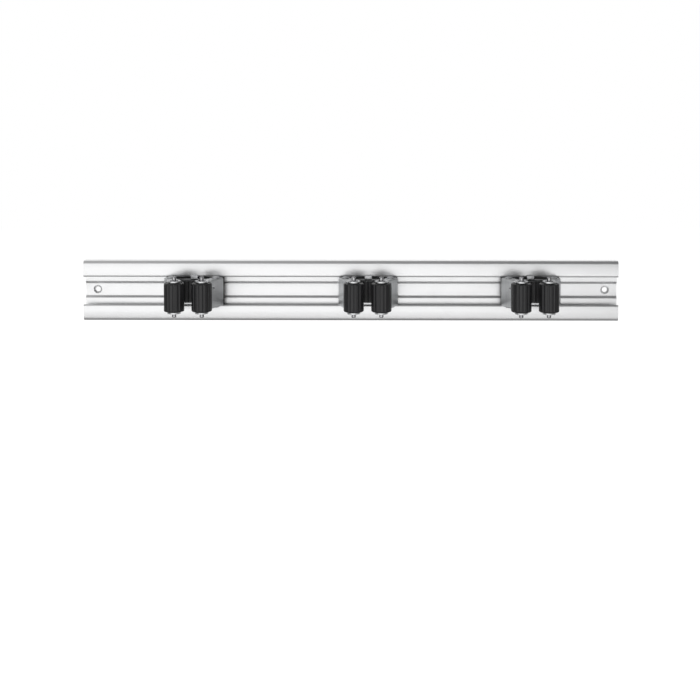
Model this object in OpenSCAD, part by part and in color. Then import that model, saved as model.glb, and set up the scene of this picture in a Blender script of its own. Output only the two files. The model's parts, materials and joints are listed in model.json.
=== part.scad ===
// Wall rail for mops and brooms: an aluminium channel that carries sliding roller holders.
// Lengths are in millimetres. X runs along the rail and Z is up. The wall is the plane y = 0 and
// the room lies towards -Y, so the reach of a thing is how far it stands in front of the wall.

/* [Rail] */
// Length of the rail
rail_length = 500; // [460:10:1000]
// Height of the rail
rail_height = 56; // [54:1:64]
// Reach of the rail's lips at their crown
rail_reach = 12; // [11.5:0.5:16]
// Wall thickness of the rail
rail_wall = 2; // [1.8:0.1:2.4]
// Outer radius of the rail's long edges
rail_edge_r = 3; // [2.5:0.1:4]
// How far each lip bulges in the middle of its width
lip_crown = 0.4; // [0.2:0.05:0.6]
// Height of the slot between the two lips
slot_height = 26; // [25:0.5:28]
// Height of the sunk band along the middle of the rail
band_height = 12; // [10:0.5:14]
// How far the band is sunk
band_sink = 1.5; // [0.8:0.1:1.6]
// Distance from a wall screw hole to the rail's end
hole_inset = 11; // [8:0.5:20]
// Diameter of a wall screw hole
hole_d = 4.6; // [3.5:0.1:5.2]
// Diameter of the countersink of a wall screw hole
countersink_d = 8; // [6.6:0.1:8.4]

/* [Places of the holders] */
// Place of the left holder, from the middle of the rail
left_holder_x = -145.8; // [-170:0.1:-110]
// Place of the middle holder, from the middle of the rail
middle_holder_x = 16.7; // [-10:0.1:40]
// Place of the right holder, from the middle of the rail
right_holder_x = 168; // [130:0.1:180]

/* [Slider plate and bracket] */
// Length of the plate that slides in the rail
slider_length = 54; // [40:1:58]
// Height of the plate that slides in the rail
slider_height = 44; // [36:1:46]
// Thickness of the plate that slides in the rail
slider_sheet = 3; // [2:0.1:3.4]
// Corner radius of the plate that slides in the rail
slider_corner_r = 4; // [2:0.5:8]
// Sheet thickness of the bracket
bracket_sheet = 1.8; // [1.5:0.1:2]
// Outer bend radius of the bracket
bracket_bend_r = 2.5; // [2.2:0.1:3]
// Length of the full-height middle of the bracket
web_length = 32; // [30:1:33]
// How much lower the bracket's top edge is on both sides of the tongue
top_relief = 1.2; // [0:0.1:1.4]
// Height of the bracket's low ends, where the springs hook in
wing_height = 18; // [15:0.5:18]
// Width of the tongue that laps over the upper lip
tongue_width = 6.5; // [5:0.5:10]
// How far the tongue laps over the upper lip
tongue_lap = 2.2; // [1.5:0.1:4]
// Outer bend radius at the tongue's foot
tongue_bend_r = 0.8; // [0.5:0.1:1.5]

/* [Clamp screw] */
// Diameter of the clamp screw
screw_d = 5; // [4:0.5:5]
// Head diameter of the clamp screw
screw_head_d = 9.2; // [8:0.1:9.6]
// Head height of the clamp screw
screw_head_height = 3; // [2.4:0.1:3.4]
// Width across the flats of the screw's socket
socket_width = 3; // [2.5:0.5:3]
// Depth of the screw's socket
socket_depth = 2; // [1.4:0.1:2.2]
// How far the screw stands out behind the slider plate
screw_tail = 1.6; // [0.5:0.1:2]

/* [Back pad] */
// Width of the rubber pad
pad_width = 22; // [20:0.5:24]
// Height of the rubber pad
pad_height = 20; // [16:0.5:20.5]
// Depth of the rubber pad at the middle of its cradle
pad_depth = 9.9; // [8:0.1:11]
// Radius of the pad's cradle
cradle_r = 20; // [16:0.5:30]
// Number of grooves down the cradle
cradle_grooves = 5; // [3:1:7]
// Distance between the two studs on the pad's back
stud_spacing = 16.4; // [15:0.1:16.8]
// Diameter of a stud
stud_d = 4; // [3:0.1:4]

/* [Jaws] */
// Distance between the two pivots of a holder
pivot_spacing = 41.8; // [41:0.1:44]
// How far the pivots stand in front of the bracket
pivot_ahead = 6.9; // [6.5:0.1:8]
// How far the roller axles stand in front of the pivots
axle_ahead = 28.5; // [27:0.5:34]
// Diameter of a pivot rivet
pivot_d = 4; // [3:0.1:4.4]
// Head diameter of a pivot rivet
rivet_head_d = 6.8; // [6:0.1:8]
// Head height of a pivot rivet
rivet_head_height = 1.3; // [1:0.1:1.6]
// Height of a yoke round its roller
yoke_height = 29.6; // [29:0.1:31]
// Height of a yoke round its pivot
yoke_rear_height = 26.4; // [26:0.1:28]
// Length in which the yoke's ears step apart, in front of the side plate
step_length = 2.4; // [2:0.1:2.8]
// Sheet thickness of a yoke
yoke_sheet = 1.2; // [1:0.1:1.3]
// Outer bend radius of a yoke
yoke_bend_r = 1.5; // [1.4:0.1:1.6]
// How far a yoke's side plate runs on behind its pivot
yoke_tail = 5; // [3:0.5:5]
// Radius of the yoke's ears round the pivot
pivot_ear_r = 4.2; // [3.6:0.1:4.6]
// Radius of the yoke's ears round the axle
axle_ear_r = 6; // [5:0.1:7]
// Radius of the hollow that keeps the ears clear of a handle
relief_r = 15.5; // [13:0.5:18]
// Metal left between that hollow and the line from the pivot along the side plate
relief_edge = 0.5; // [0:0.1:1.5]

/* [Rollers] */
// Diameter of a roller over its ribs
roller_d = 18.5; // [17:0.1:19.5]
// Gap between the two rollers when the jaws are shut
roller_gap = 6.5; // [4.5:0.1:8]
// Number of grooves round a roller
roller_grooves = 12; // [8:1:16]
// Width of a roller's groove
groove_width = 2; // [1.4:0.1:2.4]
// Depth of a roller's groove
groove_depth = 0.6; // [0.3:0.05:0.9]
// Radius of a roller's rounded ends
roller_edge_r = 1.4; // [0.6:0.1:1.8]
// Outer diameter of the bush inside a roller
bush_d = 7; // [6.4:0.1:8]
// Flange diameter of the bush
bush_flange_d = 10; // [9:0.1:12]
// Flange thickness of the bush
bush_flange = 0.5; // [0.4:0.1:0.8]
// Diameter of an axle
axle_d = 4; // [3:0.1:4.4]
// How far an axle stands out beyond the ears
axle_end = 3.7; // [2.5:0.1:6]
// Chamfer on the ends of an axle
axle_chamfer = 0.5; // [0.2:0.1:0.8]
// Depth of the groove that a retaining clip sits in
clip_groove_depth = 0.4; // [0.3:0.05:0.6]
// Diameter of a retaining clip
clip_d = 7.6; // [6.4:0.1:9]
// Thickness of a retaining clip
clip_sheet = 0.6; // [0.4:0.1:0.8]

/* [Springs] */
// Diameter of the spring wire
wire_d = 1.1; // [0.8:0.1:1.2]
// Turns of a spring
spring_turns = 7; // [4:1:8]
// Rise of a spring in one turn
spring_pitch = 1.65; // [1.65:0.05:1.8]
// Where the spring's front leg hooks through the side plate
hook_ahead = 11; // [8:0.5:14]
// Bend radius of a spring's hook
hook_r = 1.3; // [1.2:0.1:1.6]
// Metal between a spring's hole and the end of the bracket
hook_land = 0.9; // [0.6:0.1:1.4]

/* [Fits] */
// Radial clearance of a part that turns on its pin
running_gap = 0.06; // [0.03:0.01:0.1]
// Radial clearance of a pin or stud that sits fast in its hole
seat_gap = 0.02; // [0.01:0.01:0.04]
// Gap between the sliding plate and the lips
slide_gap = 0.2; // [0.15:0.05:0.3]
// Gap between the bracket and the edges of the slot
slot_gap = 0.4; // [0.3:0.1:0.6]
// Gap between the tongue and the crown of the upper lip
tongue_gap = 0.2; // [0.2:0.05:0.4]
// Gap between the ears of the bracket and of a yoke
ear_gap = 0.3; // [0.25:0.05:0.4]
// Gap at each end of a roller's bush
side_play = 0.15; // [0.1:0.05:0.3]
// Gap between a shut yoke and its stop on the bracket
stop_gap = 0.15; // [0.1:0.05:0.3]
// Radial clearance of a spring's end in its hole
hook_gap = 0.3; // [0.2:0.05:0.4]
// Free space round a spring
spring_gap = 0.35; // [0.3:0.05:0.5]
// Gap between a roller and the end of the side plate
plate_gap = 1.2; // [0.8:0.1:2]

/* [Hidden] */
$fn = 48;
fine = 180;
past = 1;
lip_back = rail_reach - rail_wall;
lip_front = rail_reach - lip_crown;
floor_front = rail_wall + band_sink;
edge_z = rail_height / 2 - rail_edge_r;
slot_z = slot_height / 2;
band_z = band_height / 2;
hole_x = rail_length / 2 - hole_inset;

web_back = lip_back - slide_gap;
web_front = web_back + bracket_sheet;
web_top = slot_z - slot_gap;
pivot_reach = web_front + pivot_ahead;
axle_reach = pivot_reach + axle_ahead;
pivot_x = pivot_spacing / 2;
axle_x = (roller_gap + roller_d) / 2;
pad_top = web_top - bracket_sheet - tongue_gap;
pad_middle = pad_top - pad_height / 2;

yoke_inner = yoke_height / 2 - yoke_sheet;
yoke_rear_inner = yoke_rear_height / 2 - yoke_sheet;
bracket_ear_top = yoke_rear_inner - ear_gap;
coil_r = pivot_d / 2 + spring_gap + wire_d / 2;
plate_inner = coil_r + wire_d / 2 + spring_gap;
plate_outer = plate_inner + yoke_sheet;
plate_middle = plate_inner + yoke_sheet / 2;
arm_length = norm([pivot_x - axle_x, axle_ahead]);
yoke_angle = atan2(pivot_x - axle_x, axle_ahead) + asin(plate_middle / arm_length);
axle_along = sqrt(pow(arm_length, 2) - pow(plate_middle, 2));
plate_end = axle_along - roller_d / 2 - plate_gap;
step_angle = atan2((yoke_height - yoke_rear_height) / 2, step_length);

bush_height = 2 * (yoke_inner - side_play);
roller_height = bush_height - 2 * bush_flange;
clip_z = yoke_height / 2;
axle_length = yoke_height + 2 * axle_end;
clip_groove_d = axle_d - 2 * clip_groove_depth;
hook_hole_d = wire_d + 2 * hook_gap;
relief_along = 2 * axle_along / 3;

holder_x = [left_holder_x, middle_holder_x, right_holder_x];
holders = [1, 2, 3];
sides = ["left", "right"];
pair_parts = ["pivot_rivet", "arm", "spring", "axle", "axle_clips", "bush", "roller"];
single_parts = ["slider_plate", "clamp_screw", "bracket", "back_pad"];

// Extrusions: across the rail's section, forwards from the wall, and up.
// along_x draws a section whose x is the reach and whose y is the height.
module along_x(length) {
    rotate([90, 0, -90]) linear_extrude(height = length, center = true) children();
}

module forwards(near, far) {
    translate([0, -near, 0]) rotate([90, 0, 0]) linear_extrude(height = far - near) children();
}

module upwards(bottom, top) {
    translate([0, 0, bottom]) linear_extrude(height = top - bottom) children();
}

module rounded_rectangle(width, height, r) {
    square([width - 2 * r, height], center = true);
    square([width, height - 2 * r], center = true);
    for (x = [-1, 1], y = [-1, 1])
        translate([x * (width / 2 - r), y * (height / 2 - r)]) circle(r);
}

// Sheet bent into a channel: its back is at x = 0 and its flanges point along +x.
module bent_outline(height, depth, r) {
    translate([r, -height / 2]) square([depth - r, height]);
    translate([0, r - height / 2]) square([r, height - 2 * r]);
    for (y = [-1, 1]) translate([r, y * (height / 2 - r)]) circle(r);
}

module bent_channel(height, depth, sheet, bend_r) {
    difference() {
        bent_outline(height, depth, bend_r);
        translate([sheet, 0]) bent_outline(height - 2 * sheet, depth, bend_r - sheet);
    }
}

module domed_head(r, height, dome_r) {
    rotate_extrude() intersection() {
        translate([0, height - dome_r]) circle(dome_r, $fn = fine);
        square([r, height]);
    }
}

// Rail
module lip_crown_section() {
    low = slot_z + (rail_wall - lip_crown) / 2;
    half = (edge_z - low) / 2;
    crown_r = (pow(half, 2) + pow(lip_crown, 2)) / (2 * lip_crown);
    intersection() {
        translate([rail_reach - crown_r, low + half]) circle(crown_r, $fn = 2 * fine);
        translate([lip_back + lip_crown, low]) square([rail_wall, 2 * half]);
    }
}

module rail_half_section() {
    lip_r = (rail_wall - lip_crown) / 2;
    inner_r = rail_edge_r - rail_wall;
    groove_z = band_z + rail_wall * (sqrt(2) - 1);
    difference() {
        union() {
            square([lip_front, edge_z]);
            square([lip_front - rail_edge_r, rail_height / 2]);
            translate([lip_front - rail_edge_r, edge_z]) circle(rail_edge_r);
        }
        translate([floor_front, -past]) square([lip_back - floor_front, edge_z + past]);
        translate([floor_front, -past])
            square([lip_back - inner_r - floor_front, rail_height / 2 - rail_wall + past]);
        translate([lip_back - inner_r, edge_z]) circle(inner_r);
        translate([lip_back - past, -past]) square([rail_reach, slot_z + lip_r + past]);
        polygon([
            [rail_wall, -past], [rail_wall, band_z], [floor_front, band_z + band_sink],
            [rail_reach, band_z + band_sink], [rail_reach, -past]
        ]);
        polygon([
            [-past, groove_z - past], [band_sink, groove_z + band_sink],
            [band_sink, rail_height / 2 - rail_wall], [-past, rail_height / 2 - rail_wall]
        ]);
    }
    translate([lip_back + lip_r, slot_z + lip_r]) circle(lip_r);
    lip_crown_section();
}

module rail() {
    color("gainsboro") difference() {
        along_x(rail_length) {
            rail_half_section();
            mirror([0, 1]) rail_half_section();
        }
        for (x = [-1, 1]) translate([x * hole_x, 0, 0]) wall_hole();
    }
}

module wall_hole() {
    sink = (countersink_d - hole_d) / 2;
    forwards(-past, rail_reach) circle(d = hole_d);
    translate([0, sink - rail_wall, 0]) rotate([90, 0, 0])
        cylinder(h = sink, d1 = hole_d, d2 = countersink_d);
    forwards(rail_wall, floor_front + past) circle(d = countersink_d);
}

// Plate in the rail, with the screw that draws it against the lips
module slider_plate() {
    color("dimgray") forwards(web_back - slider_sheet, web_back) difference() {
        rounded_rectangle(slider_length, slider_height, slider_corner_r);
        circle(d = screw_d + 2 * seat_gap);
    }
}

module clamp_screw() {
    color("darkgray") difference() {
        translate([0, -web_front, 0]) rotate([90, 0, 0])
            domed_head(screw_head_d / 2, screw_head_height, screw_head_d);
        forwards(web_front + screw_head_height - socket_depth, web_front + screw_head_height + past)
            circle(d = socket_width / cos(30), $fn = 6);
    }
    color("darkgray") forwards(web_back - slider_sheet - screw_tail, web_front) circle(d = screw_d);
}

// Bracket: a web in the slot, a pair of ears for each pivot and a tongue over the upper lip
module bracket_ears() {
    back = pivot_ahead + bracket_sheet + past;
    stop_n = plate_inner - stop_gap;
    stop_t = coil_r;
    stop = [
        stop_n * cos(yoke_angle) - stop_t * sin(yoke_angle),
        -stop_n * sin(yoke_angle) - stop_t * cos(yoke_angle)
    ];
    inner_x = -pivot_d / 2 - bracket_sheet;
    outer_x = plate_inner - past;
    shoulder_y = (outer_x * cos(yoke_angle) - stop_n + ear_gap / 2) / sin(yoke_angle);
    intersection() {
        translate([pivot_x, 0, 0]) along_x(2 * pivot_ear_r) translate([web_back, 0])
            bent_channel(2 * bracket_ear_top, 2 * pivot_ahead + bracket_sheet, bracket_sheet, bracket_bend_r);
        translate([pivot_x, -pivot_reach, 0]) linear_extrude(height = yoke_height, center = true)
            polygon([[inner_x, back], [inner_x, stop.y], stop, [outer_x, shoulder_y], [outer_x, back]]);
    }
}

module bracket_tongue() {
    tongue_back = rail_reach + tongue_gap;
    tongue_top = slot_z + tongue_lap;
    tongue_foot = web_top - bracket_sheet;
    tip_r = bracket_sheet / 2;
    bend = [tongue_back + bracket_sheet - tongue_bend_r, tongue_foot + tongue_bend_r];
    along_x(tongue_width) {
        translate([web_back, tongue_foot]) square([bend.x - web_back, bracket_sheet]);
        translate(bend) circle(tongue_bend_r);
        translate([tongue_back, bend.y]) square([bracket_sheet, tongue_top - tip_r - bend.y]);
        translate([tongue_back + tip_r, tongue_top - tip_r]) circle(tip_r);
    }
}

module bracket() {
    wing_length = 2 * (pivot_x + coil_r + hook_hole_d / 2 + hook_land);
    color("silver") difference() {
        union() {
            forwards(web_back, web_front) {
                translate([-web_length / 2, -web_top]) square([web_length, 2 * web_top - top_relief]);
                translate([-tongue_width / 2, 0]) square([tongue_width, web_top]);
                square([wing_length, wing_height], center = true);
            }
            bracket_ears();
            mirror([1, 0, 0]) bracket_ears();
            bracket_tongue();
        }
        for (x = [-1, 1]) {
            translate([x * pivot_x, -pivot_reach, 0])
                cylinder(h = yoke_height, d = pivot_d + 2 * seat_gap, center = true);
            forwards(0, rail_reach) {
                translate([x * stud_spacing / 2, pad_middle]) circle(d = stud_d + 2 * seat_gap);
                translate([x * (pivot_x + coil_r), -spring_rise / 2]) circle(d = hook_hole_d);
            }
        }
        forwards(0, rail_reach) circle(d = screw_d + 2 * slot_gap);
    }
}

// Rubber pad that the handle leans on: a ribbed cradle, a pocket for the screw's head and two studs
module pad_outline() {
    groove_angle = 2 * asin(pad_width / 2 / cradle_r) / (cradle_grooves + 1);
    centre = [0, -web_front - pad_depth - cradle_r];
    difference() {
        translate([-pad_width / 2, centre.y]) square([pad_width, cradle_r + pad_depth]);
        translate(centre) circle(cradle_r, $fn = fine);
        for (k = [1 : cradle_grooves]) {
            a = 90 + groove_angle * (k - (cradle_grooves + 1) / 2);
            translate(centre + cradle_r * [cos(a), sin(a)]) circle(groove_depth);
        }
    }
}

module back_pad() {
    horn_depth = pad_depth + cradle_r - sqrt(pow(cradle_r, 2) - pow(pad_width / 2, 2));
    color("dimgray") {
        difference() {
            intersection() {
                upwards(pad_middle - pad_height / 2, pad_top) pad_outline();
                along_x(pad_width + past) translate([web_front + horn_depth, pad_middle]) mirror([1, 0])
                    bent_outline(pad_height, horn_depth, roller_edge_r);
            }
            forwards(web_front - past, web_front + screw_head_height + slot_gap)
                circle(d = screw_head_d + 2 * slot_gap);
        }
        forwards(web_back, web_front + past) for (x = [-1, 1])
            translate([x * stud_spacing / 2, pad_middle]) circle(d = stud_d);
    }
}

// The next modules draw a right-hand jaw about its own pivot, with the side plate along Y
// and the roller towards -Y. jaw() turns that into the shut place and mirrors it for the left.
module jaw(side) {
    mirror([side == "left" ? 1 : 0, 0, 0]) translate([pivot_x, -pivot_reach, 0])
        rotate([0, 0, -yoke_angle]) children();
}

module at_axle() {
    translate([plate_middle, -axle_along, 0]) children();
}

module ear_outline() {
    difference() {
        union() {
            circle(pivot_ear_r);
            polygon([
                [-pivot_ear_r / 2, yoke_tail], [plate_outer - yoke_bend_r, yoke_tail],
                [plate_outer - yoke_bend_r, -plate_end], [plate_outer, -plate_end],
                [plate_middle + axle_ear_r, -axle_along], [plate_middle - axle_ear_r, -axle_along],
                [-pivot_ear_r, 0]
            ]);
        }
        translate([-relief_edge - relief_r, -relief_along]) circle(relief_r, $fn = fine);
    }
    translate([plate_middle, -axle_along]) circle(axle_ear_r);
}

// Side view of a yoke's upper ear, for along_x: level round the pivot, then a step, and level round the axle
module ear_section() {
    far = axle_along + axle_ear_r + past;
    rear = -yoke_tail - past;
    bend_run = yoke_sheet * tan(step_angle / 2);
    polygon([
        [rear, yoke_rear_inner + yoke_sheet], [plate_end, yoke_rear_inner + yoke_sheet],
        [plate_end + step_length, yoke_inner + yoke_sheet], [far, yoke_inner + yoke_sheet],
        [far, yoke_inner], [plate_end + step_length + bend_run, yoke_inner],
        [plate_end + bend_run, yoke_rear_inner], [rear, yoke_rear_inner]
    ]);
}

module arm() {
    color("silver") difference() {
        union() {
            translate([plate_outer, yoke_tail, 0]) rotate([90, 0, 0])
                linear_extrude(height = yoke_tail + plate_end) mirror([1, 0])
                    bent_channel(yoke_rear_height, yoke_sheet + yoke_bend_r, yoke_sheet, yoke_bend_r);
            for (z = [0, 1]) mirror([0, 0, z]) intersection() {
                upwards(0, yoke_height) ear_outline();
                along_x(2 * yoke_height) ear_section();
            }
        }
        cylinder(h = 2 * yoke_height, d = pivot_d + 2 * running_gap, center = true);
        at_axle() cylinder(h = 2 * yoke_height, d = axle_d + 2 * seat_gap, center = true);
        translate([0, -hook_ahead, spring_rise / 2]) rotate([0, 90, 0])
            cylinder(h = 2 * plate_outer, d = hook_hole_d);
    }
}

module pivot_rivet() {
    seat = yoke_rear_height / 2 + side_play;
    color("darkgray") {
        cylinder(h = 2 * seat, d = pivot_d, center = true);
        for (z = [0, 1]) mirror([0, 0, z]) translate([0, 0, seat])
            domed_head(rivet_head_d / 2, rivet_head_height, rivet_head_d);
    }
}

module axle() {
    tip = axle_length / 2;
    groove_far = clip_z + clip_sheet + 2 * seat_gap;
    half = [
        [axle_d / 2, clip_z], [clip_groove_d / 2, clip_z], [clip_groove_d / 2, groove_far],
        [axle_d / 2, groove_far], [axle_d / 2, tip - axle_chamfer], [axle_d / 2 - axle_chamfer, tip], [0, tip]
    ];
    other_half = [for (k = [len(half) - 1 : -1 : 0]) [half[k].x, -half[k].y]];
    color("darkgray") at_axle() rotate_extrude() polygon(concat(half, other_half));
}

module retaining_clip() {
    difference() {
        circle(d = clip_d);
        circle(d = clip_groove_d + 2 * seat_gap);
        translate([-clip_groove_d / 2, -clip_d]) square([clip_groove_d, clip_d]);
    }
}

module axle_clips() {
    color("gray") at_axle() for (z = [0, 1]) mirror([0, 0, z])
        upwards(clip_z + seat_gap, clip_z + seat_gap + clip_sheet) retaining_clip();
}

module bush() {
    color("black") at_axle() difference() {
        union() {
            cylinder(h = bush_height, d = bush_d, center = true);
            for (z = [-1, 1]) translate([0, 0, z * (bush_height - bush_flange) / 2])
                cylinder(h = bush_flange, d = bush_flange_d, center = true);
        }
        cylinder(h = 2 * bush_height, d = axle_d + 2 * running_gap, center = true);
    }
}

// Drawn oversize: roller() turns it down to its diameter
module roller_outline() {
    groove_r = (pow(groove_width / 2, 2) + pow(groove_depth, 2)) / (2 * groove_depth);
    difference() {
        circle(d = roller_d + past);
        circle(d = bush_d + 2 * seat_gap);
        for (k = [1 : roller_grooves]) rotate(k * 360 / roller_grooves)
            translate([roller_d / 2 + groove_r - groove_depth, 0]) circle(groove_r);
    }
}

module roller() {
    color("dimgray") at_axle() intersection() {
        linear_extrude(height = roller_height + past, center = true) roller_outline();
        rotate_extrude() intersection() {
            rounded_rectangle(roller_d, roller_height, roller_edge_r);
            translate([0, -roller_height]) square(2 * roller_height);
        }
    }
}

// Torsion spring round a pivot: one leg goes back into the bracket, the other hooks through the yoke
ring_sides = 6;
rings_a_turn = 8;
spring_rise = spring_turns * spring_pitch;
coil_end = -360 * spring_turns - yoke_angle;
coil_rings = spring_turns * rings_a_turn;
front_way = [-sin(yoke_angle), -cos(yoke_angle), 0];
outer_way = [cos(yoke_angle), -sin(yoke_angle), 0];

function coil_point(a) = [coil_r * cos(a), coil_r * sin(a), spring_rise * (a / coil_end - 1 / 2)];
function leg_point(n, t) = n * outer_way + t * front_way + [0, 0, spring_rise / 2];

spring_path = concat(
    [for (y = [pivot_ahead + bracket_sheet / 2, wire_d]) [coil_r, y, -spring_rise / 2]],
    [for (k = [0 : coil_rings]) coil_point(-k * 360 / rings_a_turn)],
    [coil_point(coil_end)],
    [for (t = [wire_d, hook_ahead - hook_r]) leg_point(coil_r, t)],
    [for (a = [30, 60, 90]) leg_point(coil_r + hook_r * (1 - cos(a)), hook_ahead - hook_r * (1 - sin(a)))],
    [leg_point(plate_outer + wire_d, hook_ahead)]
);
last_ring = len(spring_path) - 1;

function unit(v) = v / norm(v);
function heading(k) = unit(spring_path[min(k + 1, last_ring)] - spring_path[max(k - 1, 0)]);
function ring(k) =
    let (ahead = heading(k), aside = unit(cross(ahead, [0, 0, 1])), above = cross(aside, ahead))
    [for (j = [0 : ring_sides - 1]) let (a = j * 360 / ring_sides)
        spring_path[k] + wire_d / 2 * (cos(a) * aside + sin(a) * above)];

ring_points = [for (k = [0 : last_ring], p = ring(k)) p];
ring_faces = concat(
    [for (k = [0 : last_ring - 1], j = [0 : ring_sides - 1])
        let (n = (j + 1) % ring_sides, a = k * ring_sides, b = a + ring_sides) [a + j, b + n, a + n]],
    [for (k = [0 : last_ring - 1], j = [0 : ring_sides - 1])
        let (n = (j + 1) % ring_sides, a = k * ring_sides, b = a + ring_sides) [a + j, b + j, b + n]],
    [for (j = [1 : ring_sides - 2]) [0, j, j + 1]],
    [for (j = [1 : ring_sides - 2]) let (a = last_ring * ring_sides) [a, a + j + 1, a + j]]
);

// The turns are compared with all that lies more than half a turn further along the wire
least_gap = min([for (i = [0 : last_ring], j = [i + rings_a_turn / 2 + 1 : 1 : last_ring])
    norm(spring_path[i] - spring_path[j])]) - wire_d;
echo(least_gap_in_spring = least_gap);

module spring(side) {
    color("lightgray") mirror([side == "left" ? 1 : 0, 0, 0]) translate([pivot_x, -pivot_reach, 0])
        polyhedron(points = ring_points, faces = ring_faces);
}

rail();

for (h = holders) translate([holder_x[h - 1], 0, 0]) {
    slider_plate();
    clamp_screw();
    bracket();
    back_pad();
    for (side = sides) {
        jaw(side) pivot_rivet();
        jaw(side) arm();
        spring(side);
        jaw(side) axle();
        jaw(side) axle_clips();
        jaw(side) bush();
        jaw(side) roller();
    }
}
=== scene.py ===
import json
import math

import bmesh
import bpy
import numpy as np
from mathutils import Euler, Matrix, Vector

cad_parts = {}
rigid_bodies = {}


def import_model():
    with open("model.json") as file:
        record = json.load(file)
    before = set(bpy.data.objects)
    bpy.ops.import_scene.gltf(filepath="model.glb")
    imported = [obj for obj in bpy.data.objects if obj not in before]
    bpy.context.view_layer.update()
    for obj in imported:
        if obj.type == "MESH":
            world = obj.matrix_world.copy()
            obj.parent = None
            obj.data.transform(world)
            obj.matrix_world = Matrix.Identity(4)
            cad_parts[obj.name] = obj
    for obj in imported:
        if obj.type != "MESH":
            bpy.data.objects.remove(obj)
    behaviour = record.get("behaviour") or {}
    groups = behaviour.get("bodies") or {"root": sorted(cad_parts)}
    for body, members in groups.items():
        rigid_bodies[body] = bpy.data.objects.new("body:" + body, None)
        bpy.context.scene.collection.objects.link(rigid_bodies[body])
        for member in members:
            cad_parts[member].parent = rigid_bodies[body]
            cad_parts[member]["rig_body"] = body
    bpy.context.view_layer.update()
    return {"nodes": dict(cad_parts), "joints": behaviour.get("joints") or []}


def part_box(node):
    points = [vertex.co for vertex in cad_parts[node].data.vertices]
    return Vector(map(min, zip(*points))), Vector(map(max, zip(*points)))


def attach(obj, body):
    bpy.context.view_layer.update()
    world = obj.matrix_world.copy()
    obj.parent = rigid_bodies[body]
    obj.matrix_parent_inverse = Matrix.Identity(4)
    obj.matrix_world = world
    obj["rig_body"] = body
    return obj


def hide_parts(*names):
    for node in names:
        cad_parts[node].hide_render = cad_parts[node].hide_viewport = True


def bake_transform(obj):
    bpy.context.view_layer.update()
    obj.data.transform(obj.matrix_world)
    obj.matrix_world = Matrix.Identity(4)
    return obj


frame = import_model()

nodes = frame["nodes"]
joints = {joint["name"]: joint for joint in frame["joints"]}
scene = bpy.context.scene
scene.view_settings.view_transform = "Standard"
print("frame loaded:", len(nodes), "nodes")

# Camera: in front of the rail, above it and a little to the right of its middle.
# The tilt and the turn are slight; the shift does the rest of the framing, so that uprights stay upright.
cameraSettings = {
    "place": (0.0372, -1.062, 0.1686),   # metres
    "focalLength": 58.1,                 # mm
    "sensorWidth": 36,                   # mm
    "tiltDown": 2.0,                     # degrees
    "turnLeft": 0.5,                     # degrees
    "aim": (0.0, -0.012, 0.0),           # the middle of the rail's front
    "aimInPicture": (350.4, 291.1),      # its pixel
    "pictureSize": 700,
}


def makeCamera(settings):
    data = bpy.data.cameras.new("camera")
    data.lens = settings["focalLength"]
    data.sensor_width = settings["sensorWidth"]
    camera = bpy.data.objects.new("camera", data)
    scene.collection.objects.link(camera)
    turn = Euler((math.radians(90 - settings["tiltDown"]), 0, math.radians(settings["turnLeft"])))
    camera.location = settings["place"]
    camera.rotation_euler = turn
    # where the aim would fall with no shift, in sensor widths from the middle
    seen = turn.to_matrix().transposed() @ (Vector(settings["aim"]) - Vector(settings["place"]))
    scale = settings["focalLength"] / data.sensor_width / -seen.z
    half = settings["pictureSize"] / 2
    across, down = settings["aimInPicture"]
    data.shift_x = seen.x * scale - (across - half) / settings["pictureSize"]
    data.shift_y = seen.y * scale + (down - half) / settings["pictureSize"]
    scene.camera = camera


makeCamera(cameraSettings)
print("camera made")

# Studio: a white world, a pale floor, three soft lamps, and grey cards that only reflections see.
studioSettings = {
    "ambient": 0.62,             # what the world adds to plain surfaces
    "floorHeight": -0.42,
    "floorSize": 9.0,
    "floorGrey": 0.82,
    "floorLift": 0.50,           # added to the floor's own light, for the camera
    "lamps": [                   # name, place, size, watts
        ("keyLamp", (-1.1, -1.5, 1.25), (1.8, 1.2), 16),
        ("fillLamp", (1.4, -1.3, 0.5), (1.2, 1.2), 5),
        ("backLamp", (0.4, 1.6, 1.0), (1.6, 1.0), 9),
    ],
    "cards": [                   # name, middle, width, height, grey at the left and at the right
        ("ceilingCard", (0.0, -0.3, 1.1), 6.0, 6.4, 0.46, 0.18),
        ("frontCard", (-0.55, -1.60, -0.06), 2.1, 0.80, 1.18, 1.18),
        ("rightCard", (1.00, -1.50, -0.20), 0.9, 1.0, 0.62, 0.62),
        ("leftSideCard", (-1.50, -0.35, 0.0), 1.6, 1.2, 0.16, 0.16),
        ("rightSideCard", (1.50, -0.35, 0.0), 1.6, 1.2, 0.16, 0.16),
        ("lowCard", (0.0, -0.25, -0.33), 3.0, 0.5, 0.38, 0.38),
        ("underCard", (0.0, 0.10, -0.33), 3.0, 0.6, 0.20, 0.20),
        ("backLowCard", (0.0, 0.50, -0.20), 0.9, 0.5, 0.28, 0.28),
        ("rightWingCard", (1.30, 0.75, 0.0), 1.0, 1.2, 0.38, 0.38),
        ("leftWingCard", (-1.30, 0.75, 0.0), 1.0, 1.2, 0.48, 0.48),
    ],
    "cardFade": (-0.55, 0.45),   # from the left grey to the right grey between these, along X
}
rectangle = ((-1, -1), (1, -1), (1, 1), (-1, 1))
white = (1, 1, 1, 1)


def addNode(tree, kind, **values):
    node = tree.nodes.new(kind)
    for name, value in values.items():
        if name in node.inputs:
            node.inputs[name].default_value = value
        else:
            setattr(node, name, value)
    return node


def addObject(name, mesh, material):
    added = bpy.data.objects.new(name, mesh)
    scene.collection.objects.link(added)
    mesh.materials.append(material)
    return added


def emptyMaterial(name):
    material = bpy.data.materials.new(name)
    material.use_nodes = True
    material.node_tree.nodes.clear()
    return material, material.node_tree


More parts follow.
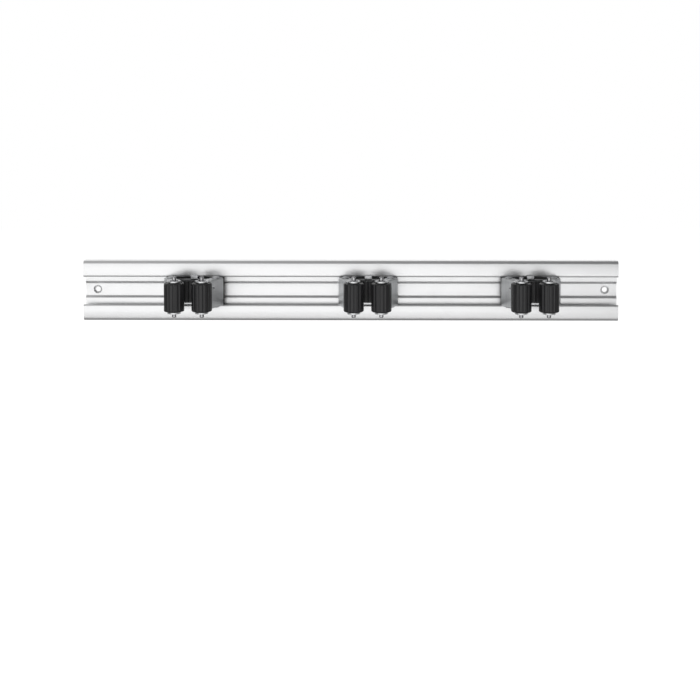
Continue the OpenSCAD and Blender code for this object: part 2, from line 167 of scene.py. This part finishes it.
def cameraMask(tree):
    # 1 for rays from the camera, from glossy surfaces and through glass
    path = addNode(tree, "ShaderNodeLightPath")
    glossy = addNode(tree, "ShaderNodeMath", operation="MAXIMUM")
    tree.links.new(path.outputs["Is Camera Ray"], glossy.inputs[0])
    tree.links.new(path.outputs["Is Glossy Ray"], glossy.inputs[1])
    whole = addNode(tree, "ShaderNodeMath", operation="MAXIMUM")
    tree.links.new(glossy.outputs[0], whole.inputs[0])
    tree.links.new(path.outputs["Is Transmission Ray"], whole.inputs[1])
    return whole.outputs[0]


def makeWorld(settings):
    world = bpy.data.worlds.new("studio")
    world.use_nodes = True
    tree = world.node_tree
    tree.nodes.clear()
    strength = addNode(tree, "ShaderNodeMapRange", **{"To Min": settings["ambient"], "To Max": 1.0})
    background = addNode(tree, "ShaderNodeBackground", Color=white)
    output = addNode(tree, "ShaderNodeOutputWorld")
    tree.links.new(cameraMask(tree), strength.inputs["Value"])
    tree.links.new(strength.outputs[0], background.inputs["Strength"])
    tree.links.new(background.outputs[0], output.inputs["Surface"])
    scene.world = world


def makeFloor(settings):
    half, height, grey = settings["floorSize"] / 2, settings["floorHeight"], settings["floorGrey"]
    mesh = bpy.data.meshes.new("floor")
    mesh.from_pydata([(x * half, y * half, height) for x, y in rectangle], [], [(0, 1, 2, 3)])
    material, tree = emptyMaterial("floor")
    plain = addNode(tree, "ShaderNodeBsdfDiffuse", Color=(grey, grey, grey, 1))
    lift = addNode(tree, "ShaderNodeEmission", Color=white)
    strength = addNode(tree, "ShaderNodeMath", operation="MULTIPLY")
    strength.inputs[1].default_value = settings["floorLift"]
    both = addNode(tree, "ShaderNodeAddShader")
    output = addNode(tree, "ShaderNodeOutputMaterial")
    tree.links.new(cameraMask(tree), strength.inputs[0])
    tree.links.new(strength.outputs[0], lift.inputs["Strength"])
    tree.links.new(plain.outputs[0], both.inputs[0])
    tree.links.new(lift.outputs[0], both.inputs[1])
    tree.links.new(both.outputs[0], output.inputs["Surface"])
    addObject("floor", mesh, material)


def makeLamp(name, place, size, watts):
    # faces the origin
    data = bpy.data.lights.new(name, "AREA")
    data.shape = "RECTANGLE"
    data.size, data.size_y = size
    data.energy = watts
    lamp = bpy.data.objects.new(name, data)
    lamp.location = place
    lamp.rotation_euler = (-Vector(place)).to_track_quat("-Z", "Y").to_euler()
    lamp.visible_glossy = False
    scene.collection.objects.link(lamp)


def makeCard(name, middle, width, height, greyLeft, greyRight, fade):
    # faces the origin; only glossy rays see it
    away = Vector(middle).normalized()
    aside = away.cross(Vector((0, 0, 1))).normalized()
    above = aside.cross(away)
    corners = [Vector(middle) + aside * (x * width / 2) + above * (z * height / 2) for x, z in rectangle]
    mesh = bpy.data.meshes.new(name)
    mesh.from_pydata(corners, [], [(0, 1, 2, 3)])
    material, tree = emptyMaterial(name)
    place = addNode(tree, "ShaderNodeTexCoord")
    along = addNode(tree, "ShaderNodeSeparateXYZ")
    grey = addNode(tree, "ShaderNodeMapRange", **{
        "From Min": fade[0], "From Max": fade[1], "To Min": greyLeft, "To Max": greyRight})
    glow = addNode(tree, "ShaderNodeEmission", Color=white)
    output = addNode(tree, "ShaderNodeOutputMaterial")
    tree.links.new(place.outputs["Object"], along.inputs[0])
    tree.links.new(along.outputs["X"], grey.inputs["Value"])
    tree.links.new(grey.outputs[0], glow.inputs["Strength"])
    tree.links.new(glow.outputs[0], output.inputs["Surface"])
    card = addObject(name, mesh, material)
    for seenBy in ("camera", "diffuse", "transmission", "shadow", "volume_scatter"):
        setattr(card, "visible_" + seenBy, False)


makeWorld(studioSettings)
makeFloor(studioSettings)
for lamp in studioSettings["lamps"]:
    makeLamp(*lamp)
for card in studioSettings["cards"]:
    makeCard(*card, studioSettings["cardFade"])
print("studio made")

# Effects that several materials share. Each group reads Object coordinates, so a pattern keeps to its piece.


def makeGroup(name, inputs, outputs):
    group = bpy.data.node_groups.new(name, "ShaderNodeTree")
    for label, kind, value in inputs:
        socket = group.interface.new_socket(name=label, in_out="INPUT", socket_type="NodeSocket" + kind)
        socket.default_value = value
    for label, kind in outputs:
        group.interface.new_socket(name=label, in_out="OUTPUT", socket_type="NodeSocket" + kind)
    return group, group.nodes.new("NodeGroupInput"), group.nodes.new("NodeGroupOutput")


def makeStretchedLines():
    # fine lines left by a die, a roll or a lathe: noise that is stretched along one direction
    group, given, result = makeGroup(
        "stretchedLines", [("Stretch", "Vector", (8, 900, 900))], [("Height", "Float"), ("Streak", "Float")])
    place = addNode(group, "ShaderNodeTexCoord")
    scaled = addNode(group, "ShaderNodeVectorMath", operation="MULTIPLY")
    fine = addNode(group, "ShaderNodeTexNoise", Scale=1.0, Detail=4.0, Roughness=0.65)
    broadPlace = addNode(group, "ShaderNodeVectorMath", operation="SCALE", Scale=0.22)
    broad = addNode(group, "ShaderNodeTexNoise", Scale=1.0, Detail=2.0, Roughness=0.5)
    group.links.new(place.outputs["Object"], scaled.inputs[0])
    group.links.new(given.outputs["Stretch"], scaled.inputs[1])
    group.links.new(scaled.outputs[0], fine.inputs["Vector"])
    group.links.new(scaled.outputs[0], broadPlace.inputs[0])
    group.links.new(broadPlace.outputs[0], broad.inputs["Vector"])
    group.links.new(fine.outputs["Fac"], result.inputs["Height"])
    group.links.new(broad.outputs["Fac"], result.inputs["Streak"])
    return group


def makeClouds():
    # soft patches, as in plating, handling marks and moulded rubber
    group, given, result = makeGroup(
        "clouds", [("Scale", "Float", 60.0), ("Low", "Float", 0.0), ("High", "Float", 1.0)],
        [("Value", "Float"), ("Patch", "Float")])
    place = addNode(group, "ShaderNodeTexCoord")
    noise = addNode(group, "ShaderNodeTexNoise", Detail=5.0, Roughness=0.6, Distortion=0.4)
    spread = addNode(group, "ShaderNodeMapRange", **{"From Min": 0.3, "From Max": 0.7})
    group.links.new(place.outputs["Object"], noise.inputs["Vector"])
    group.links.new(given.outputs["Scale"], noise.inputs["Scale"])
    group.links.new(noise.outputs["Fac"], spread.inputs["Value"])
    group.links.new(given.outputs["Low"], spread.inputs["To Min"])
    group.links.new(given.outputs["High"], spread.inputs["To Max"])
    group.links.new(spread.outputs[0], result.inputs["Value"])
    group.links.new(noise.outputs["Fac"], result.inputs["Patch"])
    return group


def makeGrain():
    # the fine grain of a mould's surface
    group, given, result = makeGroup("grain", [("Scale", "Float", 2500.0)], [("Height", "Float")])
    place = addNode(group, "ShaderNodeTexCoord")
    cells = addNode(group, "ShaderNodeTexVoronoi", feature="SMOOTH_F1")
    noise = addNode(group, "ShaderNodeTexNoise", Detail=3.0)
    both = addNode(group, "ShaderNodeMath", operation="ADD")
    for texture in (cells, noise):
        group.links.new(place.outputs["Object"], texture.inputs["Vector"])
        group.links.new(given.outputs["Scale"], texture.inputs["Scale"])
    group.links.new(cells.outputs["Distance"], both.inputs[0])
    group.links.new(noise.outputs["Fac"], both.inputs[1])
    group.links.new(both.outputs[0], result.inputs["Height"])
    return group


linesGroup = makeStretchedLines()
cloudsGroup = makeClouds()
grainGroup = makeGrain()


def useGroup(tree, group, **values):
    node = tree.nodes.new("ShaderNodeGroup")
    node.node_tree = group
    for name, value in values.items():
        node.inputs[name].default_value = value
    return node


def makeMaterial(name, metallic):
    material = bpy.data.materials.new(name)
    material.use_nodes = True
    shader = material.node_tree.nodes["Principled BSDF"]
    shader.inputs["Metallic"].default_value = metallic
    return material, material.node_tree, shader


def mixColours(tree, factor, low, high):
    mix = addNode(tree, "ShaderNodeMix", data_type="RGBA")
    first, second = [socket for socket in mix.inputs if socket.type == "RGBA"]
    first.default_value, second.default_value = (*low, 1), (*high, 1)
    tree.links.new(factor, mix.inputs["Factor"])
    return next(socket for socket in mix.outputs if socket.type == "RGBA")


def addBump(tree, shader, height, strength, distance):
    bump = addNode(tree, "ShaderNodeBump", Strength=strength, Distance=distance)
    tree.links.new(height, bump.inputs["Height"])
    tree.links.new(bump.outputs[0], shader.inputs["Normal"])


# Colours and roughness run between two values. On the rail, a roughness down to 0.26 leaves specks in the render.
metalSettings = {
    "anodised": {"low": (0.87, 0.875, 0.88), "high": (0.92, 0.922, 0.925), "rough": (0.285, 0.345),
                 "stretch": (6, 900, 900), "bump": 0.025},
    "zinc": {"low": (0.68, 0.69, 0.70), "high": (0.82, 0.83, 0.84), "rough": (0.28, 0.36),
             "stretch": (700, 700, 60), "bump": 0.06},
    "turned": {"low": (0.70, 0.71, 0.72), "high": (0.84, 0.85, 0.86), "rough": (0.18, 0.26),
               "stretch": (120, 120, 2600), "bump": 0.08},
    # the axles: a darker copy of the turned steel, as painted shade for the axle ends that sit in the rollers'
    # shade
    "axlePaintedShade": {"low": (0.36, 0.36, 0.37), "high": (0.56, 0.56, 0.57), "rough": (0.16, 0.26),
             "stretch": (120, 120, 2600), "bump": 0.08},
    "springWire": {"low": (0.42, 0.42, 0.43), "high": (0.58, 0.58, 0.60), "rough": (0.28, 0.38),
                   "stretch": (900, 900, 900), "bump": 0.05},
}
metalPatchScale = 70.0
metalBumpDistance = 0.0002     # metres
metalContrast = (0.35, 0.65)   # the part of the noise that spans the two colours


def makeMetal(name, settings):
    material, tree, shader = makeMaterial(name, 1.0)
    low, high = settings["rough"]
    lines = useGroup(tree, linesGroup, Stretch=settings["stretch"])
    clouds = useGroup(tree, cloudsGroup, Scale=metalPatchScale, Low=low, High=high)
    # the mean of streaks and patches picks the colour
    half = addNode(tree, "ShaderNodeMath", operation="MULTIPLY")
    half.inputs[1].default_value = 0.5
    mean = addNode(tree, "ShaderNodeMath", operation="MULTIPLY_ADD")
    mean.inputs[1].default_value = 0.5
    tree.links.new(clouds.outputs["Patch"], half.inputs[0])
    tree.links.new(lines.outputs["Streak"], mean.inputs[0])
    tree.links.new(half.outputs[0], mean.inputs[2])
    spread = addNode(tree, "ShaderNodeMapRange", **{"From Min": metalContrast[0], "From Max": metalContrast[1]})
    tree.links.new(mean.outputs[0], spread.inputs["Value"])
    colour = mixColours(tree, spread.outputs[0], settings["low"], settings["high"])
    tree.links.new(colour, shader.inputs["Base Color"])
    tree.links.new(clouds.outputs["Value"], shader.inputs["Roughness"])
    addBump(tree, shader, lines.outputs["Height"], settings["bump"], metalBumpDistance)
    return material


softSettings = {
    "rubber": {"low": (0.006, 0.006, 0.007), "high": (0.016, 0.016, 0.017), "rough": (0.28, 0.40),
               "grain": 3000.0, "bump": 0.20},
    "nylon": {"low": (0.020, 0.020, 0.021), "high": (0.032, 0.032, 0.033), "rough": (0.30, 0.42),
              "grain": 5000.0, "bump": 0.08},
    # the slider plate: near black as painted shade, for the deep shade in the gap above each bracket
    "plateBlackPaintedShade": {"low": (0.012, 0.012, 0.012), "high": (0.020, 0.020, 0.021), "rough": (0.50, 0.65),
                "grain": 1800.0, "bump": 0.10},
}
softPatchScale = 110.0
softBumpDistance = 0.0001      # metres


def makeSoft(name, settings):
    material, tree, shader = makeMaterial(name, 0.0)
    low, high = settings["rough"]
    clouds = useGroup(tree, cloudsGroup, Scale=softPatchScale, Low=low, High=high)
    grain = useGroup(tree, grainGroup, Scale=settings["grain"])
    colour = mixColours(tree, clouds.outputs["Patch"], settings["low"], settings["high"])
    tree.links.new(colour, shader.inputs["Base Color"])
    tree.links.new(clouds.outputs["Value"], shader.inputs["Roughness"])
    addBump(tree, shader, grain.outputs["Height"], settings["bump"], softBumpDistance)
    return material


materials = {name: makeMetal(name, settings) for name, settings in metalSettings.items()}
materials.update({name: makeSoft(name, settings) for name, settings in softSettings.items()})
print("materials made:", len(materials))


def partOf(nodeName):
    # roller for roller_left_2
    words = nodeName.split("_")
    return "_".join(word for word in words if word not in ("left", "right") and not word.isdigit())


def nodesOf(part):
    return [nodeName for nodeName in nodes if partOf(nodeName) == part]


def shadeSmooth(mesh, sharpAngle):
    mesh.polygons.foreach_set("use_smooth", np.ones(len(mesh.polygons), bool))
    mesh.set_sharp_from_angle(angle=math.radians(sharpAngle))


def addPiece(name, mesh, material, replaced):
    piece = addObject(name, mesh, material)
    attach(piece, nodes[replaced]["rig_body"])
    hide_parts(replaced)
    return piece


# Sheet, bars and pads keep the frame's shape. A copy with broken edges stands in for each node.
finishSettings = {             # part: (edge radius in mm, material, record's slot)
    "rail": (0.15, "anodised", "anodised_aluminium"),
    # the slider plate's near black is painted shade for the gap above each bracket
    "slider_plate": (0.20, "plateBlackPaintedShade", "black_coated_steel"),
    "clamp_screw": (0.10, "turned", "zinc_steel"),
    "bracket": (0.12, "zinc", "zinc_steel"),
    "back_pad": (0.25, "rubber", "black_rubber"),
    "pivot_rivet": (0.08, "turned", "zinc_steel"),
    "arm": (0.12, "zinc", "zinc_steel"),
    # the axles take the darker steel: painted shade
    "axle": (0.06, "axlePaintedShade", "zinc_steel"),
    "axle_clips": (0.06, "springWire", "spring_steel"),
    "bush": (0.06, "nylon", "black_plastic"),
}
edgeSettings = {
    "merge": 1e-6,             # metres
    "flatAngle": 0.5,          # degrees; faces that meet at less become one
    "smoothAngle": 32,         # degrees; edges that turn by less are round surfaces
    "steps": 2,
}
# The rail in mm, from its middle line and from the wall: the flanks of its sunk band run into the floor in
# soft curves, and its lips curve in for longer than their half round.
bandSettings = {"low": 5.5, "high": 8.0, "back": 1.8, "front": 4.0, "shortest": 0.1, "radius": 0.65, "steps": 4}
lipSettings = {"edge": 13.0, "edgeSlack": 0.01, "roundEnd": 13.81, "middle": 10.8, "middleSlack": 0.05,
               "stretch": 2.4, "fill": 1.3}


def roundBand(form, settings):
    def onBand(vert):
        _, y, z = vert.co * 1000
        return settings["low"] < abs(z) < settings["high"] and settings["back"] < -y < settings["front"]

    def isFlank(edge):
        first, second = edge.verts
        return onBand(first) and onBand(second) and abs(first.co.x - second.co.x) > settings["shortest"]

    flanks = [edge for edge in form.edges if isFlank(edge)]
    bmesh.ops.bevel(form, geom=flanks, offset=settings["radius"] / 1000, offset_type="OFFSET",
                    segments=settings["steps"], profile=0.5, affect="EDGES")
    print("band flanks rounded:", len(flanks))


def softenLips(form, settings):
    edge, middle = settings["edge"], settings["middle"]
    for vert in form.verts:
        _, y, z = vert.co * 1000
        onFront = -y > middle + settings["middleSlack"]
        if onFront and edge - settings["edgeSlack"] < abs(z) < settings["roundEnd"]:
            vert.co.z = math.copysign(edge + (abs(z) - edge) * settings["stretch"], z) / 1000
            vert.co.y = -(middle + (-y - middle) * settings["fill"]) / 1000


def breakEdges(nodeName, radius, material, settings):
    form = bmesh.new()
    form.from_mesh(nodes[nodeName].data)
    bmesh.ops.remove_doubles(form, verts=form.verts, dist=settings["merge"])
    bmesh.ops.dissolve_limit(
        form, angle_limit=math.radians(settings["flatAngle"]), verts=form.verts, edges=form.edges)
    if nodeName == "rail":
        roundBand(form, bandSettings)
        softenLips(form, lipSettings)
    points = [vert.co.copy() for vert in form.verts]
    faces = [[vert.index for vert in face.verts] for face in form.faces]
    form.free()
    mesh = bpy.data.meshes.new(nodeName + "_finish")
    mesh.from_pydata(points, [], faces)
    shadeSmooth(mesh, settings["smoothAngle"])
    piece = addPiece(nodeName + "_finish", mesh, material, nodeName)
    bevel = piece.modifiers.new("edges", "BEVEL")
    bevel.width = radius / 1000
    bevel.segments = settings["steps"]
    bevel.limit_method = "ANGLE"
    bevel.angle_limit = math.radians(settings["smoothAngle"])
    bevel.harden_normals = True


for part, (radius, finish, slot) in finishSettings.items():
    for nodeName in nodesOf(part):
        breakEdges(nodeName, radius, materials[finish], edgeSettings)
print("sheet and turned parts finished")

# New surfaces: each is a grid of points worked out at once, in mm.


def meshFromGrid(name, grid, sharpAngle, alongClosed=False):
    # grid has the shape (along, around, 3), in metres; it closes around, and open ends get a flat cap
    rows, columns = grid.shape[:2]
    index = np.arange(rows * columns).reshape(rows, columns)
    thisRow = index if alongClosed else index[:-1]
    nextRow = np.roll(index, -1, 0) if alongClosed else index[1:]
    quads = np.stack([thisRow, np.roll(thisRow, -1, 1), np.roll(nextRow, -1, 1), nextRow], -1)
    faces = quads.reshape(-1, 4).tolist()
    if not alongClosed:
        faces += [index[0][::-1].tolist(), index[-1].tolist()]
    mesh = bpy.data.meshes.new(name)
    mesh.from_pydata(grid.reshape(-1, 3), [], faces)
    form = bmesh.new()
    form.from_mesh(mesh)
    if form.calc_volume(signed=True) < 0:
        bmesh.ops.reverse_faces(form, faces=form.faces)
    form.to_mesh(mesh)
    form.free()
    shadeSmooth(mesh, sharpAngle)
    return mesh


rollerSettings = {
    "inside": 0.01,            # mm, less than the frame's radius
    "turns": {"left": 7, "right": -11},   # degrees
    "boreRadius": 3.52,
    "edgeRadius": 1.4,
    "edgeSteps": 8,
    "sideSteps": 4,
    "ringRadius": 6.6,         # a shallow moulded ring on each end face
    "ringWidth": 1.1,
    "ringDepth": 0.35,
    "ringSlopes": (0.3, 0.2),  # widths of its inner and outer slope
    "grooves": 12,
    "grooveWidth": 2.0,
    "grooveDepth": 0.6,
    "grooveSteps": 18,
    "grooveRounding": 0.12,    # where a groove meets the wall
    "cornerRounding": 0.10,    # where the end of a groove meets the roller's edge
    "grooveOnset": 3,          # a groove is full at a third of the edge's radius
    "sharpAngle": 50,
}


def rollerProfile(settings, radius, height):
    # out along one end face, round the edge, up the side, and the same way back to the bore
    edge, half = settings["edgeRadius"], height / 2
    ringIn = settings["ringRadius"] - settings["ringWidth"] / 2
    ringOut = settings["ringRadius"] + settings["ringWidth"] / 2
    slopeIn, slopeOut = settings["ringSlopes"]
    faceR = np.array([settings["boreRadius"], ringIn - slopeIn, ringIn, ringOut, ringOut + slopeOut, radius - edge])
    faceZ = half - settings["ringDepth"] * np.array([0, 0, 1, 1, 0, 0])
    bend = np.radians(np.linspace(0, 90, settings["edgeSteps"] + 1))[1:]
    sideZ = np.linspace(half - edge, 0, settings["sideSteps"] + 1)[1:]
    r = np.concatenate([faceR, radius - edge + edge * np.sin(bend), np.full(len(sideZ), radius)])
    z = np.concatenate([faceZ, half - edge + edge * np.cos(bend), sideZ])
    return np.concatenate([r, r[-2::-1]]), np.concatenate([z, -z[-2::-1]])


def rollerGrid(settings, radius, height, turn):
    # the profile, held inside a wall that dips by a circular arc at each groove
    r, z = rollerProfile(settings, radius, height)
    r, z = r[:, None], z[:, None]
    grooves, depth = settings["grooves"], settings["grooveDepth"]
    around = np.linspace(0, 2 * np.pi, grooves * settings["grooveSteps"], endpoint=False)
    arcRadius = ((settings["grooveWidth"] / 2) ** 2 + depth ** 2) / (2 * depth)
    pitch = 2 * np.pi / grooves
    aside = radius * np.sin((around + pitch / 2) % pitch - pitch / 2)
    dip = np.sqrt(np.maximum(arcRadius ** 2 - aside ** 2, 0)) - (arcRadius - depth)
    rounding = settings["grooveRounding"]
    wall = radius - rounding * np.log1p(np.exp(dip / rounding))
    rounding = settings["cornerRounding"]
    inside = -rounding * np.logaddexp(-r / rounding, -wall / rounding)
    edge = settings["edgeRadius"]
    onSide = np.clip((r - (radius - edge)) / edge * settings["grooveOnset"], 0, 1)
    reach = r * (1 - onSide) + inside * onSide
    angle = around + turn
    return np.stack([reach * np.cos(angle), reach * np.sin(angle), np.broadcast_to(z, reach.shape)], -1)


def makeRollers(settings):
    for nodeName in nodesOf("roller"):
        low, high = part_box(nodeName)
        middle = np.array((low + high) / 2)
        size = (high - low) * 1000
        turn = math.radians(settings["turns"][nodeName.split("_")[1]])
        grid = rollerGrid(settings, size.x / 2 - settings["inside"], size.z, turn) / 1000 + middle
        mesh = meshFromGrid(nodeName + "_rubber", grid, settings["sharpAngle"], alongClosed=True)
        addPiece(nodeName + "_rubber", mesh, materials["rubber"], nodeName)


springSettings = {
    "wire": 1.1,               # mm
    "coilRadius": 2.9,
    "turns": 7,
    "pitch": 1.65,
    "backLeg": 7.8,            # from the pivot to the end in the bracket
    "frontLeg": 11.0,          # from the pivot to the hook
    "hookRadius": 1.3,
    "hookEnd": 6.1,            # from the pivot, through the side plate
    "plateMiddle": 4.4,        # from the pivot to the middle of the side plate
    "turnSteps": 30,
    "legSteps": 8,
    "hookSteps": 8,
    "sides": 12,
    "sharpAngle": 60,
}


def springPath(settings, yokeAngle):
    # straight leg, helix, straight leg, quarter bend and a short end; the pivot is at the origin
    rise = settings["turns"] * settings["pitch"]
    coil, bend, length = settings["coilRadius"], settings["hookRadius"], settings["frontLeg"]
    steps = settings["legSteps"]
    ahead = np.array([-math.sin(yokeAngle), -math.cos(yokeAngle), 0])
    outward = np.array([math.cos(yokeAngle), -math.sin(yokeAngle), 0])
    top = np.array([0, 0, rise / 2])
    back = np.linspace(settings["backLeg"], 0, steps, endpoint=False)
    backLeg = np.stack([np.full(steps, coil), back, np.full(steps, -rise / 2)], -1)
    end = 2 * math.pi * settings["turns"] + yokeAngle
    a = np.linspace(0, end, settings["turns"] * settings["turnSteps"] + 1)
    helix = np.stack([coil * np.cos(a), -coil * np.sin(a), rise * (a / end - 0.5)], -1)
    straight = np.linspace(0, length - bend, steps)[1:]
    frontLeg = coil * outward + straight[:, None] * ahead + top
    b = np.radians(np.linspace(0, 90, settings["hookSteps"] + 1))[1:, None]
    hook = (coil + bend * (1 - np.cos(b))) * outward + (length - bend * (1 - np.sin(b))) * ahead + top
    tip = settings["hookEnd"] * outward + length * ahead + top
    return np.concatenate([backLeg, helix, frontLeg, hook, tip[None]])


def tubeGrid(path, radius, sides):
    # a circle carried along the path, square to its direction
    ahead = np.gradient(path, axis=0)
    ahead /= np.linalg.norm(ahead, axis=1, keepdims=True)
    aside = np.cross(ahead, [0, 0, 1])
    aside /= np.linalg.norm(aside, axis=1, keepdims=True)
    above = np.cross(aside, ahead)
    a = np.linspace(0, 2 * np.pi, sides, endpoint=False)[None, :, None]
    return path[:, None] + radius * (np.cos(a) * aside[:, None] + np.sin(a) * above[:, None])


def makeSprings(settings):
    for nodeName in nodesOf("spring"):
        side, number = nodeName.split("_")[1:]
        pivot = np.array(joints[f"jaw_hinge_{side}_{number}"]["pos_m"])
        axle = np.array(joints[f"roller_spin_{side}_{number}"]["pos_m"])
        across, forwards = np.abs(pivot - axle)[:2] * 1000
        yokeAngle = math.atan2(across, forwards) + math.asin(settings["plateMiddle"] / math.hypot(across, forwards))
        path = springPath(settings, yokeAngle)
        path[:, 0] *= 1 if side == "right" else -1
        grid = tubeGrid(path, settings["wire"] / 2, settings["sides"]) / 1000 + pivot
        mesh = meshFromGrid(nodeName + "_wire", grid, settings["sharpAngle"])
        wire = addObject(nodeName + "_wire", mesh, materials["springWire"])
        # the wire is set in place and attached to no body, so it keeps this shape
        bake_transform(wire)
        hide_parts(nodeName)


makeRollers(rollerSettings)
makeSprings(springSettings)
print("rollers and springs made")
